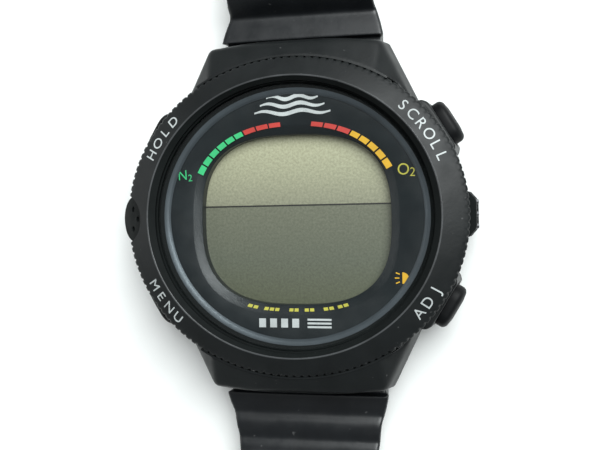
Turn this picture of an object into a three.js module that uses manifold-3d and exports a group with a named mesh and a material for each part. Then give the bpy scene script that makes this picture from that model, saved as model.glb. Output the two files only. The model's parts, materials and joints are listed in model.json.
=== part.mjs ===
// Wrist dive computer with an open two-piece rubber strap.
// Millimetres. +Z points out of the face, +Y to 12 o'clock, +X to 3 o'clock.
// The origin is the centre of the flat back, which is the lowest plane of the head.
import * as THREE from 'three';
import { mergeVertices } from 'three/addons/utils/BufferGeometryUtils.js';
import Module from 'manifold-3d';

// ---------------------------------------------------------------- driving dimensions
const GAP = 0.3; // clearance between pieces that nearly touch
const OVAL_SEGMENTS = 48;
const CASE_SEGMENTS = 96;
const ROUND_SEGMENTS = 32;

const BEZEL = { a: 23.5, b: 21.4, bottom: 10.9, rim: 12.4, lip: 13.95 }; // half axes and levels
const BARREL = { a: 22.8, b: 20.7, bottom: 0.5, top: 10.6 };
const RIM = { a: 20.95, b: 19.35, top: 12.7 }; // collar of the case that carries the crystal
const CAVITY = { a: 19.0, b: 17.8, floor: 3.4, roof: 10.7 };
const MOUTH = { a: 18.7, b: 17.5 }; // opening under the crystal
const SEAT = { a: 19.85, b: 18.6, z: 11.55 }; // bore that holds the crystal
const CRYSTAL = { a: 19.0, b: 17.9, bottom: 11.9, top: 13.2 };
const DIAL = { a: 18.45, b: 17.3, bottom: 10.85, top: 11.4 };
const WINDOW = { a: 13.2, b: 11.5, y: -0.4, power: 2.8 }; // superellipse of the display opening
const LCD = { a: 14.3, b: 12.6, power: 2.5, bottom: 7.9, top: 9.4 };
const FRAME = { a: 16.6, b: 15.6, wall: 0.9, bottom: 4.9, top: 10.6 };
const BOARD = { a: 15.4, b: 14.4, bottom: 5.3, top: 6.1 };

const BACK = { r: 17.7, top: 2.0, opening: 14.3, lip: 13.6, lipZ: 1.5 };
const BACK_SCREW = { circle: 16.2, head: 1.15, shank: 0.65, end: 4.2 };
const HATCH = { r: 14.0, top: 1.1, wallOut: 13.4, wallIn: 12.6, wallTop: 2.9, tab: 14.0, tabZ: 2.3 };
const BATTERY = { r: 12.25, bottom: 1.5, top: 4.5 }; // CR2430 coin cell, 24.5 x 3.0

const BUTTON = { angle: 31, z: 7.2, length: 6.2, height: 4.0, back: 22.0, face: 24.6 };
const STEM = { r: 0.9, inner: 17.6 };
const COLLAR = { half: 4.0, face: 23.2, bottom: 3.6, top: 10.5 };
const POCKET_FLOOR = 20.4;

const SENSOR = { x: -23.5, z: 10.45, tilt: 40, boss: 3.3, guard: 2.8 };
const CONTACT = { half: 3.0, bottom: 4.9, top: 8.9, inner: 21.5, face: 24.1 };

const LUG = { inner: 11.35, end: 23.45, hoodEnd: 24.2, tipTop: 7.2, tipBottom: 5.3 };
const FLANK = { x: 14.05, y: 20.5, z: 7.6, turn: 26, lean: 12, undercut: -4 }; // widest line of a lug
const FLANK_TOP = { rise: 2.6, lean: 46 }; // where a flank rolls over to the hood
const BAR = { y: 22.0, z: 3.7, r: 0.9 }; // strap spring bar
const KNUCKLE = { r: 2.2, half: 11.05 };
const STRAP = { shoulder: 24.8, half: 9.6, thick: 3.2 };
const UPPER_END = { y: 83.0, z: 3.6 };
const UPPER_STRAIGHT = { y: 50.0, z: 6.15 };
const LOWER_FLAT = { y: 80.0, z: 1.5 };
const LOWER_TIP = 132.0;
const HOLE = { first: 84.0, pitch: 5.0, count: 9, half: 0.9, r: 1.1 };
const BUCKLE = { pitch: 9.9, half: 11.8, inner: 9.7, reach: 13.4, open: 11.0, thick: 1.25 };
const KEEPER = { half: 10.3, wall: 1.3, fixed: 77.0, sliding: 66.0, long: 5.0 };

// ---------------------------------------------------------------- materials
function material(color, roughness, metalness = 0) {
  return new THREE.MeshStandardMaterial({ color, roughness, metalness });
}
const polymer = material(0x2b2d30, 0.5);
const rubber = material(0x1d1f23, 0.65);
const seal = material(0x141414, 0.7);
const steel = material(0xb9bcc0, 0.3, 1);
const brass = material(0xc9a94f, 0.35, 1);
const dialPaint = material(0x4d545a, 0.55);
const ringPaint = material(0x9aa0a6, 0.3, 0.4);
const glass = new THREE.MeshStandardMaterial({ color: 0xdfe6ea, roughness: 0.05, transparent: true, opacity: 0.3 });
const display = material(0xb9b8a4, 0.3);
const white = material(0xd9dcd8, 0.6);
const boardGreen = material(0x1f5b3a, 0.5);
const chipBlack = material(0x17181a, 0.5);

// ---------------------------------------------------------------- solids and cuts
const wasm = await Module();
wasm.setup();

function merged(geometry) {
  const bare = geometry.clone();
  for (const name of Object.keys(bare.attributes)) {
    if (name !== 'position') bare.deleteAttribute(name);
  }
  return mergeVertices(bare, 1e-4);
}

// A closed geometry whose faces point out, with its shared vertices merged and slivers dropped.
function closed(geometry) {
  const mesh = merged(geometry);
  const at = mesh.getAttribute('position');
  const index = mesh.getIndex().array;
  const [p, q, r] = [new THREE.Vector3(), new THREE.Vector3(), new THREE.Vector3()];
  const kept = [];
  let volume = 0;
  for (let i = 0; i < index.length; i += 3) {
    const [a, b, c] = [index[i], index[i + 1], index[i + 2]];
    if (a === b || b === c || c === a) continue;
    p.fromBufferAttribute(at, a);
    q.fromBufferAttribute(at, b);
    r.fromBufferAttribute(at, c);
    volume += p.dot(q.cross(r));
    kept.push(a, b, c);
  }
  if (volume < 0) kept.reverse();
  mesh.setIndex(kept);
  return mesh;
}

function toManifold(geometry) {
  const mesh = closed(geometry);
  const vertProperties = new Float32Array(mesh.getAttribute('position').array);
  const triVerts = new Uint32Array(mesh.getIndex().array);
  return new wasm.Manifold(new wasm.Mesh({ numProp: 3, vertProperties, triVerts }));
}

function fromManifold(solid) {
  const { vertProperties, triVerts } = solid.getMesh();
  const geometry = new THREE.BufferGeometry();
  geometry.setAttribute('position', new THREE.BufferAttribute(new Float32Array(vertProperties), 3));
  geometry.setIndex(new THREE.BufferAttribute(new Uint32Array(triVerts), 1));
  return geometry;
}

function join(...geometries) {
  return fromManifold(geometries.map(toManifold).reduce((whole, piece) => whole.add(piece)));
}

function cut(geometry, ...tools) {
  return fromManifold(tools.map(toManifold).reduce((rest, tool) => rest.subtract(tool), toManifold(geometry)));
}

function common(first, second) {
  return fromManifold(toManifold(first).intersect(toManifold(second)));
}

// ---------------------------------------------------------------- shape helpers
const rad = THREE.MathUtils.degToRad;

// Revolves an (r, z) profile about Z.
function turned(profile, segments = ROUND_SEGMENTS) {
  const points = profile.map(([r, z]) => new THREE.Vector2(r, z));
  return new THREE.LatheGeometry(points, segments).rotateX(Math.PI / 2);
}

function turnedRing(profile, segments = ROUND_SEGMENTS) {
  return turned([...profile, profile[0]], segments);
}

function rod(r, z0, z1, segments = 16) {
  return turned([[0, z0], [r, z0], [r, z1], [0, z1]], segments);
}

// Sweeps a profile of [a, b, z] half axes round an oval.
function oval(profile, segments = OVAL_SEGMENTS) {
  const geometry = turned(profile.map(([a, , z]) => [a, z]), segments);
  const at = geometry.getAttribute('position');
  for (let i = 0; i < at.count; i += 1) {
    const [a, b] = profile[i % profile.length];
    if (a > 0) at.setY(i, (at.getY(i) * b) / a);
  }
  return geometry;
}

function ovalRing(profile) {
  return oval([...profile, profile[0]]);
}

function ovalPlate(a, b, z0, z1, segments = OVAL_SEGMENTS) {
  return oval([[0, 0, z0], [a, b, z0], [a, b, z1], [0, 0, z1]], segments);
}

function box(x0, x1, y0, y1, z0, z1) {
  const geometry = new THREE.BoxGeometry(x1 - x0, y1 - y0, z1 - z0);
  return geometry.translate((x0 + x1) / 2, (y0 + y1) / 2, (z0 + z1) / 2);
}

function polygon(points) {
  return new THREE.Shape(points.map(([x, y]) => new THREE.Vector2(x, y)));
}

// Extrudes a plan shape between two heights.
function upright(shape, z0, z1, curveSegments = 6) {
  const settings = { depth: z1 - z0, bevelEnabled: false, curveSegments };
  return new THREE.ExtrudeGeometry(shape, settings).translate(0, 0, z0);
}

// Extrudes a (y, z) side shape across X between x0 and x1.
function across(shape, x0, x1, curveSegments = 8) {
  const settings = { depth: x1 - x0, bevelEnabled: false, curveSegments };
  const geometry = new THREE.ExtrudeGeometry(shape, settings);
  return geometry.rotateX(Math.PI / 2).rotateZ(Math.PI / 2).translate(x0, 0, 0);
}

// Turns a solid built along +Z so that it lies along +X.
function alongX(geometry) {
  return geometry.rotateY(Math.PI / 2);
}

function superellipse(a, b, power, steps = 40) {
  const points = [];
  for (let i = 0; i < steps; i += 1) {
    const t = (2 * Math.PI * i) / steps;
    const [c, s] = [Math.cos(t), Math.sin(t)];
    points.push([
      a * Math.sign(c) * Math.abs(c) ** (2 / power),
      b * Math.sign(s) * Math.abs(s) ** (2 / power),
    ]);
  }
  return polygon(points);
}

// A slot shape with round ends, lying along the first axis.
function stadium(length, width) {
  const half = (length - width) / 2;
  const shape = new THREE.Shape();
  shape.moveTo(-half, -width / 2);
  shape.lineTo(half, -width / 2);
  shape.absarc(half, 0, width / 2, -Math.PI / 2, Math.PI / 2, false);
  shape.lineTo(-half, width / 2);
  shape.absarc(-half, 0, width / 2, Math.PI / 2, 1.5 * Math.PI, false);
  return shape;
}

class Helix extends THREE.Curve {
  constructor(radius, length, turns) {
    super();
    Object.assign(this, { radius, length, turns });
  }

  getPoint(t, target = new THREE.Vector3()) {
    const angle = 2 * Math.PI * this.turns * t;
    return target.set(this.radius * Math.cos(angle), this.radius * Math.sin(angle), this.length * t);
  }
}

// ---------------------------------------------------------------- the model
const model = new THREE.Group();

function add(name, geometry, look, parent = model) {
  const mesh = new THREE.Mesh(closed(geometry), look);
  mesh.name = name;
  parent.add(mesh);
  return mesh;
}

// Places a solid built round the button axis (+X, at z = 0) at one of the four buttons.
function atButton(geometry, degrees) {
  return geometry.translate(0, 0, BUTTON.z).rotateZ(rad(degrees));
}

// Places a solid built along +Z, with its top at z = 0, in the tilted sensor boss.
function atSensor(geometry) {
  return geometry.rotateY(rad(-SENSOR.tilt)).translate(SENSOR.x, 0, SENSOR.z);
}

const BUTTONS = {
  upper_right: BUTTON.angle,
  upper_left: 180 - BUTTON.angle,
  lower_left: 180 + BUTTON.angle,
  lower_right: -BUTTON.angle,
};
const SIDES = [1, -1]; // 12 o'clock and 6 o'clock

// ---- case body
function barrel() {
  return oval([
    [0, 0, BARREL.bottom],
    [19.6, 18.4, BARREL.bottom],
    [21.5, 19.6, 1.3],
    [22.5, 20.4, 3.0],
    [BARREL.a, BARREL.b, 5.0],
    [BARREL.a, BARREL.b, 10.2],
    [22.4, 20.3, BARREL.top],
    [RIM.a, RIM.b, BARREL.top],
    [RIM.a, RIM.b, RIM.top],
    [0, 0, RIM.top],
  ], CASE_SEGMENTS);
}

// A slab outside a lug's flank, leaning in by an angle from a height above the flank's widest line.
function flankPlane(lean, z0, z1, rise = 0) {
  const inset = rise * Math.tan(rad(FLANK.lean));
  const slab = box(0, 6, -7, 6, z0, z1).rotateY(rad(-lean)).translate(-inset, 0, rise);
  return slab.rotateZ(rad(FLANK.turn)).translate(FLANK.x, FLANK.y, FLANK.z);
}

// Everything below the bezel's own slope, so that the hoods carry on flush with the bezel.
function hoodCone() {
  return oval([
    [0, 0, -1],
    [32, 28, -1],
    [32, 28, 9.07],
    [23.2, 21.1, BEZEL.rim + 0.35],
    [20.25, 18.85, BEZEL.lip],
    [0, 0, BEZEL.lip],
  ], CASE_SEGMENTS);
}

// The hooded pair of lugs on one end: a plan outline cut to a side profile, with flanks that roll over.
function lugs(side) {
  const flank = [[17.4, 15.4], [16.0, 17.3], [15.1, 19.0], [14.4, 20.4], [13.7, 21.8], [13.1, 23.05]];
  const plan = polygon([[-17.4, 8], [17.4, 8], ...flank, [11.7, LUG.end]]);
  plan.quadraticCurveTo(0, 2 * LUG.hoodEnd - LUG.end, -11.7, LUG.end);
  flank.reverse().forEach(([x, y]) => plan.lineTo(-x, y));
  const profile = new THREE.Shape();
  profile.moveTo(8, 14);
  profile.lineTo(19, 14);
  profile.lineTo(23.2, 11.75);
  profile.bezierCurveTo(23.8, 11.3, 24.2, 10.2, LUG.hoodEnd + 0.2, LUG.tipTop);
  profile.lineTo(LUG.hoodEnd + 0.2, BAR.z);
  profile.lineTo(BAR.y + 2.45, BAR.z);
  profile.absarc(BAR.y, BAR.z, 2.45, 0, -Math.PI / 2, true);
  profile.lineTo(8, BAR.z - 2.45);
  const bezelRecess = ovalPlate(BEZEL.a + 0.15, BEZEL.b + 0.15, BARREL.top, 14, CASE_SEGMENTS);
  const shape = common(upright(plan, -1, 14, 3), across(profile, -20, 20, 6));
  let block = cut(common(shape, hoodCone()), bezelRecess);
  for (const mirror of [1, -1]) {
    const planes = [
      flankPlane(FLANK.lean, -2, 8),
      flankPlane(FLANK_TOP.lean, -1, 8, FLANK_TOP.rise),
      flankPlane(FLANK.undercut, -12, 2),
    ];
    block = cut(block, ...planes.map((plane) => plane.scale(mirror, 1, 1)));
  }
  return side > 0 ? block : block.rotateZ(Math.PI);
}

// The space between a pair of lugs where the strap's end turns on its bar.
function strapPocket(side) {
  const shape = new THREE.Shape();
  const reach = KNUCKLE.r + GAP;
  const start = Math.asin((LUG.tipBottom - BAR.z) / reach);
  shape.moveTo(BAR.y - reach, -2);
  shape.lineTo(BAR.y - reach, BAR.z);
  shape.absarc(BAR.y, BAR.z, reach, Math.PI, start, true);
  shape.lineTo(27, LUG.tipBottom);
  shape.lineTo(27, -2);
  const pocket = across(shape, -LUG.inner, LUG.inner);
  return side > 0 ? pocket : pocket.rotateZ(Math.PI);
}

function collar(degrees) {
  const { half, face } = COLLAR;
  const plan = polygon([
    [15, -half - 0.6], [21.2, -half - 0.6], [face - 0.5, -half], [face, -half + 0.6],
    [face, half - 0.6], [face - 0.5, half], [21.2, half + 0.6], [15, half + 0.6],
  ]);
  return upright(plan, COLLAR.bottom, COLLAR.top).rotateZ(rad(degrees));
}

// Everything a button needs cut out of the case: cap pocket, stem hole and seal groove.
function buttonBore(degrees) {
  const pocket = new THREE.ExtrudeGeometry(stadium(BUTTON.length + 0.6, BUTTON.height + 0.6), {
    depth: 8,
    bevelEnabled: false,
    curveSegments: 5,
  });
  const racetrack = alongX(pocket.rotateZ(Math.PI / 2)).translate(POCKET_FLOOR, 0, 0);
  const stemHole = alongX(rod(STEM.r + 0.2, 16, 21, 10));
  const groove = alongX(rod(1.62, 19.0, 19.9, 10));
  return [racetrack, stemHole, groove].map((tool) => atButton(tool, degrees));
}

function caseBody() {
  const boss = atSensor(rod(SENSOR.boss, -5, 0, 24));
  const outer = join(
    barrel(),
    lugs(1),
    lugs(-1),
    ...Object.values(BUTTONS).map(collar),
    boss,
  );
  const hollow = oval([
    [0, 0, CAVITY.floor],
    [CAVITY.a, CAVITY.b, CAVITY.floor],
    [CAVITY.a, CAVITY.b, CAVITY.roof],
    [MOUTH.a, MOUTH.b, CAVITY.roof],
    [MOUTH.a, MOUTH.b, SEAT.z],
    [SEAT.a, SEAT.b, SEAT.z],
    [SEAT.a, SEAT.b, 14],
    [0, 0, 14],
  ]);
  const backRecess = rod(BACK.r + 0.25, -2, BACK.top + 0.45, ROUND_SEGMENTS);
  const backOpening = rod(14.4, 0, 4, ROUND_SEGMENTS);
  const shell = cut(outer, hollow, backRecess, backOpening);

  const bosses = screwPlaces().map(([x, y]) => rod(1.8, 3.2, 4.6, 10).translate(x, y, 0));
  const screwHoles = screwPlaces().map(([x, y]) => rod(BACK_SCREW.shank + 0.15, 1, 4.4, 8).translate(x, y, 0));
  const tips = SIDES.map((side) => alongX(rod(0.75, -12.5, 12.5, 8)).translate(0, side * BAR.y, BAR.z));
  const sensorPocket = [
    atSensor(rod(SENSOR.guard + 0.2, -1.5, 2, 24)),
    atSensor(rod(2.5, -3.1, 0, 16)),
    atSensor(rod(0.7, -7, -2, 8)),
  ];
  const contactPocket = box(
    CONTACT.inner - GAP, 26, -CONTACT.half - GAP, CONTACT.half + GAP, CONTACT.bottom - GAP, CONTACT.top + GAP,
  );
  const pinHoles = pinPlaces().map((y) => alongX(rod(0.8, 17, 23, 8)).translate(0, y, pinLevel()));
  return cut(
    join(shell, ...bosses),
    ...screwHoles,
    ...Object.values(BUTTONS).flatMap(buttonBore),
    ...SIDES.map(strapPocket),
    ...tips,
    ...sensorPocket,
    contactPocket,
    ...pinHoles,
  );
}

function screwPlaces() {
  const reach = BACK_SCREW.circle * Math.SQRT1_2;
  return [[reach, reach], [-reach, reach], [-reach, -reach], [reach, -reach]];
}

function pinPlaces() {
  return [-1.6, 0, 1.6];
}

function pinLevel() {
  return (CONTACT.bottom + CONTACT.top) / 2;
}

add('case_body', caseBody(), polymer);

// ---- bezel, crystal and dial
function bezel() {
  const ring = ovalRing([
    [23.2, 21.1, BEZEL.bottom],
    [BEZEL.a, BEZEL.b, BEZEL.bottom + 0.4],
    [BEZEL.a, BEZEL.b, BEZEL.rim],
    [23.2, 21.1, BEZEL.rim + 0.35],
    [20.25, 18.85, BEZEL.lip],
    [20.05, 18.65, BEZEL.lip - 0.05],
    [CRYSTAL.a + GAP, CRYSTAL.b + GAP, 13.35],
    [CRYSTAL.a + GAP, CRYSTAL.b + GAP, RIM.top + GAP],
    [RIM.a + GAP, RIM.b + GAP, RIM.top + GAP],
    [RIM.a + GAP, RIM.b + GAP, BEZEL.bottom],
  ]);
  return cut(ring, atSensor(rod(SENSOR.boss + GAP, -6, 8, 24)));
}
add('bezel', bezel(), polymer);

add('crystal', oval([
  [0, 0, CRYSTAL.bottom],
  [CRYSTAL.a, CRYSTAL.b, CRYSTAL.bottom],
  [CRYSTAL.a, CRYSTAL.b, CRYSTAL.top - 0.25],
  [CRYSTAL.a - 0.3, CRYSTAL.b - 0.3, CRYSTAL.top],
  [0, 0, CRYSTAL.top],
]), glass);

add('crystal_gasket', ovalRing([
  [18.8, 17.65, 11.6],
  [19.7, 18.48, 11.6],
  [19.7, 18.48, 12.6],
  [CRYSTAL.a + 0.2, CRYSTAL.b + 0.2, 12.6],
  [CRYSTAL.a + 0.2, CRYSTAL.b + 0.2, 11.8],
  [18.8, 17.65, 11.8],
]), seal);

add('flange_ring', ovalRing([
  [DIAL.a, DIAL.b, DIAL.top + 0.05],
  [DIAL.a, DIAL.b, CRYSTAL.bottom - 0.05],
  [DIAL.a - 0.8, DIAL.b - 0.8, DIAL.top + 0.1],
  [DIAL.a - 0.8, DIAL.b - 0.8, DIAL.top + 0.05],
]), ringPaint);

function dialMask() {
  const plate = ovalPlate(DIAL.a, DIAL.b, DIAL.bottom, DIAL.top);
  const wall = upright(superellipse(WINDOW.a + 0.8, WINDOW.b + 0.8, WINDOW.power), LCD.top + 0.1, DIAL.top - 0.1);
  const opening = upright(superellipse(WINDOW.a, WINDOW.b, WINDOW.power), 8, 13);
  return cut(join(plate, wall.translate(0, WINDOW.y, 0)), opening.translate(0, WINDOW.y, 0));
}
add('dial_mask', dialMask(), dialPaint);

// ---- display module
const panel = upright(superellipse(LCD.a, LCD.b, LCD.power), LCD.bottom, LCD.top);
add('lcd_panel', panel.translate(0, WINDOW.y, 0), display);
add('backlight_panel', upright(superellipse(13.4, 10.2, 3.5, 24), 7.3, LCD.bottom - 0.1), white);
add('zebra_strip_upper', box(-8, 8, 10.8, 12.0, BOARD.top + 0.1, LCD.bottom - 0.1), seal);
add('zebra_strip_lower', box(-8, 8, -12.0, -10.8, BOARD.top + 0.1, LCD.bottom - 0.1), seal);

function moduleFrame() {
  const { a, b, wall } = FRAME;
  return ovalRing([
    [a, b, FRAME.bottom],
    [a, b, FRAME.top],
    [a - wall, b - wall, FRAME.top],
    [a - wall, b - wall, FRAME.bottom],
  ]);
}
add('module_frame', moduleFrame(), white);
add('circuit_board', ovalPlate(BOARD.a, BOARD.b, BOARD.bottom, BOARD.top), boardGreen);
add('microcontroller', box(1.5, 8.5, -3.5, 3.5, BOARD.top + 0.05, 7.1), chipBlack);
add('piezo_buzzer', rod(4.5, BOARD.top + 0.05, 6.95, 24).translate(-5.2, 0, 0), brass);
const quartzCan = alongX(rod(0.8, -3, 3, 12)).rotateZ(Math.PI / 2).translate(13.7, 0, 4.4);
add('quartz_can', quartzCan, steel);

// ---- battery and its contacts
add('battery', turned([
  [0, BATTERY.bottom],
  [BATTERY.r - 1.4, BATTERY.bottom],
  [BATTERY.r - 1.4, BATTERY.bottom + 0.25],
  [BATTERY.r, BATTERY.bottom + 0.25],
  [BATTERY.r, BATTERY.top],
  [0, BATTERY.top],
]), steel);
add('battery_contact_minus', join(
  box(-5, 1, -1.5, 1.5, BATTERY.top + 0.1, BATTERY.top + 0.3),
  box(0.6, 2, -1.5, 1.5, BATTERY.top + 0.2, BOARD.bottom - 0.1),
), brass);
add('battery_contact_plus', join(
  box(BATTERY.r + 0.25, BATTERY.r + 0.45, -1.8, 1.8, 3.2, BOARD.bottom - 0.1),
  box(BATTERY.r + 0.25, BATTERY.r + 1.9, -1.8, 1.8, BOARD.bottom - 0.3, BOARD.bottom - 0.1),
).rotateZ(rad(-100)), brass);

// ---- back plate, screws and hatch
function caseBack() {
  const plate = turnedRing([
    [BACK.opening, 0],
    [BACK.r - 0.5, 0],
    [BACK.r, 0.5],
    [BACK.r, BACK.top],
    [BACK.lip, BACK.top],
    [BACK.lip, BACK.lipZ],
    [BACK.opening, BACK.lipZ],
  ], 48);
  const counterbores = screwPlaces().map(([x, y]) => rod(BACK_SCREW.head + 0.15, -1, 1.0, 12).translate(x, y, 0));
  const holes = screwPlaces().map(([x, y]) => rod(BACK_SCREW.shank + 0.15, -1, 3, 8).translate(x, y, 0));
  return cut(plate, ...counterbores, ...holes, ...hatchTabs(0.25, 60, BACK.lipZ - 0.2, 3));
}

// Three bayonet tabs, turned by a given angle and grown by a given clearance.
function hatchTabs(grow, degrees, z0, z1) {
  return [0, 120, 240].map((angle) => {
    const tab = box(HATCH.wallOut - 0.4, HATCH.tab + grow, -2 - grow, 2 + grow, z0, z1);
    return tab.rotateZ(rad(angle + degrees));
  });
}

add('case_back', caseBack(), polymer);
add('case_back_gasket', turnedRing([[14.8, 2.05], [15.2, 2.05], [15.2, 2.4], [14.8, 2.4]]), seal);

function backScrew() {
  const body = turned([
    [0, 0.2],
    [BACK_SCREW.head - 0.15, 0.2],
    [BACK_SCREW.head, 0.35],
    [BACK_SCREW.head, 0.9],
    [BACK_SCREW.shank, 0.9],
    [BACK_SCREW.shank, BACK_SCREW.end],
    [0, BACK_SCREW.end],
  ], 12);
  return cut(body, box(-0.65, 0.65, -0.15, 0.15, 0, 0.6), box(-0.15, 0.15, -0.65, 0.65, 0, 0.6));
}
screwPlaces().forEach(([x, y], i) => {
  add(`case_back_screw_${i + 1}`, backScrew().translate(x, y, 0), steel);
});

// The coin slots are two short recesses, so the middle of the hatch stays a flat face.
function batteryHatch() {
  const cup = turned([
    [0, 0],
    [HATCH.r - 0.3, 0],
    [HATCH.r, 0.3],
    [HATCH.r, HATCH.top],
    [HATCH.wallOut, HATCH.top],
    [HATCH.wallOut, HATCH.wallTop],
    [HATCH.wallIn, HATCH.wallTop],
    [HATCH.wallIn, HATCH.top],
    [0, HATCH.top],
  ], 48);
  const recesses = SIDES.map((side) => {
    return upright(stadium(6, 1.8), -1, 0.6, 5).rotateZ(Math.PI / 2).translate(side * 10.2, 0, 0);
  });
  return cut(join(cup, ...hatchTabs(0, 0, HATCH.tabZ, HATCH.wallTop)), ...recesses);
}
add('battery_hatch', batteryHatch(), polymer);
add('hatch_o_ring', new THREE.TorusGeometry(13.72, 0.16, 4, 40).translate(0, 0, 1.3), seal);

// ---- pressure sensor at 9 o'clock
function sensorGuard() {
  const { guard } = SENSOR;
  const cap = turned([
    [0, -1.35],
    [guard, -1.35],
    [guard, -0.25],
    [guard - 0.35, 0.05],
    [1.2, 0.22],
    [0, 0.28],
  ], 24);
  const holes = [90, 0, -90].map((angle) => rod(0.36, -3, 2, 8).translate(1.6, 0, 0).rotateZ(rad(angle)));
  return atSensor(cut(cap, ...holes));
}
add('sensor_guard', sensorGuard(), polymer);
add('pressure_sensor', atSensor(turned([
  [0, -2.95],
  [1.75, -2.95],
  [1.75, -1.95],
  [1.3, -1.95],
  [1.3, -1.75],
  [0, -1.75],
], 16)), steel);
add('sensor_o_ring', atSensor(new THREE.TorusGeometry(2.1, 0.25, 5, 20).translate(0, 0, -2.45)), seal);

// ---- contact block at 3 o'clock
function contactBlock() {
  const { half, inner, face } = CONTACT;
  const plan = polygon([
    [inner, -half], [23.1, -half], [23.9, -half + 0.9], [face, -half + 1.4],
    [face, half - 1.4], [23.9, half - 0.9], [23.1, half], [inner, half],
  ]);
  const holes = pinPlaces().map((y) => alongX(rod(0.75, 20, 26, 8)).translate(0, y, pinLevel()));
  return cut(upright(plan, CONTACT.bottom, CONTACT.top), ...holes);
}
add('contact_block', contactBlock(), polymer);
pinPlaces().forEach((y, i) => {
  const pin = turned([[0, 18.0], [0.45, 18.0], [0.45, 23.9], [0.3, CONTACT.face + 0.15], [0, CONTACT.face + 0.2]], 8);
  add(`contact_pin_${i + 1}`, alongX(pin).translate(0, y, pinLevel()), steel);
});

// ---- four push buttons, each with its spring, stem seal and clip
function button() {
  const { length, height, back, face } = BUTTON;
  const bevel = 0.4;
  const cap = new THREE.ExtrudeGeometry(stadium(length - 2 * bevel, height - 2 * bevel), {
    depth: face - back - 2 * bevel,
    bevelEnabled: true,
    bevelSize: bevel,
    bevelThickness: bevel,
    bevelSegments: 1,
    curveSegments: 5,
  });
  const head = alongX(cap.rotateZ(Math.PI / 2)).translate(back + bevel, 0, 0);
  return join(head, alongX(rod(STEM.r, STEM.inner, back + 0.5, 10)));
}

function coilSpring(radius, length, turns, wire) {
  const ring = new THREE.Shape().absarc(0, 0, wire, 0, 2 * Math.PI, false);
  return new THREE.ExtrudeGeometry(ring, {
    steps: Math.round(turns * 10),
    curveSegments: 2,
    extrudePath: new Helix(radius, length, turns),
  });
}

for (const [place, degrees] of Object.entries(BUTTONS)) {
  add(`button_${place}`, atButton(button(), degrees), steel);
  const coil = coilSpring(1.35, 1.1, 2, 0.16).translate(0, 0, POCKET_FLOOR + 0.22);
  add(`button_spring_${place}`, atButton(alongX(coil), degrees), steel);
  const ring = new THREE.TorusGeometry(1.28, 0.25, 4, 12).translate(0, 0, 19.45);
  add(`button_o_ring_${place}`, atButton(alongX(ring), degrees), seal);
  const clip = turnedRing([[1.0, 17.8], [1.7, 17.8], [1.7, 18.15], [1.0, 18.15]], 12);
  add(`button_clip_${place}`, atButton(alongX(clip), degrees), steel);
}

// ---- strap halves
// A ribbon of a given centre line and thickness, seen from the side.
function ribbonSide(centre, thickness) {
  const upper = [];
  const lower = [];
  centre.forEach((point, i) => {
    const before = centre[Math.max(i - 1, 0)];
    const after = centre[Math.min(i + 1, centre.length - 1)];
    const along = after.clone().sub(before).normalize();
    if (i === 0) along.set(1, 0);
    const half = thickness(point.x) / 2;
    upper.push([point.x - along.y * half, point.y + along.x * half]);
    lower.push([point.x + along.y * half, point.y - along.x * half]);
  });
  return polygon([...lower, ...upper.reverse()]);
}

function spline(points, steps) {
  return new THREE.SplineCurve(points.map(([y, z]) => new THREE.Vector2(y, z))).getPoints(steps);
}

// The hump beside the lugs is the same on both halves.
const HUMP = [[STRAP.shoulder, 4.1], [27.2, 4.0], [29.2, 4.9], [31.2, 6.2], [33.5, 7.1], [37, 7.4]];

function strapThickness(y) {
  return THREE.MathUtils.mapLinear(Math.min(y, 28.5), STRAP.shoulder, 28.5, 4.2, STRAP.thick);
}

// The flared end that meets the lugs, then the waist, as half widths along y.
const FLARE = [[25.2, 11.7], [26.3, 11.35], [27.5, 10.9], [28.6, 10.55], [30.0, 10.25], [32.0, 9.95], [35.0, 9.7]];

function strapPlan(tail) {
  const edge = [[STRAP.shoulder - 0.01, FLARE[0][1]], ...FLARE, ...tail];
  return polygon([
    ...edge.map(([y, half]) => [half, y]),
    ...edge.map(([y, half]) => [-half, y]).reverse(),
  ]);
}

function strapRoot() {
  const knuckle = alongX(rod(KNUCKLE.r, -KNUCKLE.half, KNUCKLE.half, 20)).translate(0, BAR.y, BAR.z);
  const neck = box(-KNUCKLE.half, KNUCKLE.half, BAR.y, STRAP.shoulder + 0.6, BAR.z - 1.5, LUG.tipBottom - GAP);
  return join(knuckle, neck);
}

function barTunnel() {
  return alongX(rod(BAR.r + GAP, -15, 15, 12)).translate(0, BAR.y, BAR.z);
}

function strapUpper() {
  const centre = spline([...HUMP, [41.5, 7.1], [46, 6.5], [UPPER_STRAIGHT.y, UPPER_STRAIGHT.z]], 22);
  centre.push(new THREE.Vector2(UPPER_END.y, UPPER_END.z));
  const side = ribbonSide(centre, strapThickness);
  const plan = strapPlan([[70, STRAP.half], [78, 9.3], [90, 9.3]]);
  const band = common(across(side, -13, 13), upright(plan, -5, 20));
  const endLoop = alongX(rod(1.9, -9.3, 9.3, 16)).translate(0, UPPER_END.y + 0.9, UPPER_END.z - 0.05);
  const endTunnel = alongX(rod(1.15, -12, 12, 10)).translate(0, UPPER_END.y + 0.9, UPPER_END.z - 0.05);
  const tongueSlot = box(-1.6, 1.6, UPPER_END.y - 2.6, UPPER_END.y + 4, 0, 8);
  return cut(join(strapRoot(), band, endLoop), barTunnel(), endTunnel, tongueSlot);
}

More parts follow.
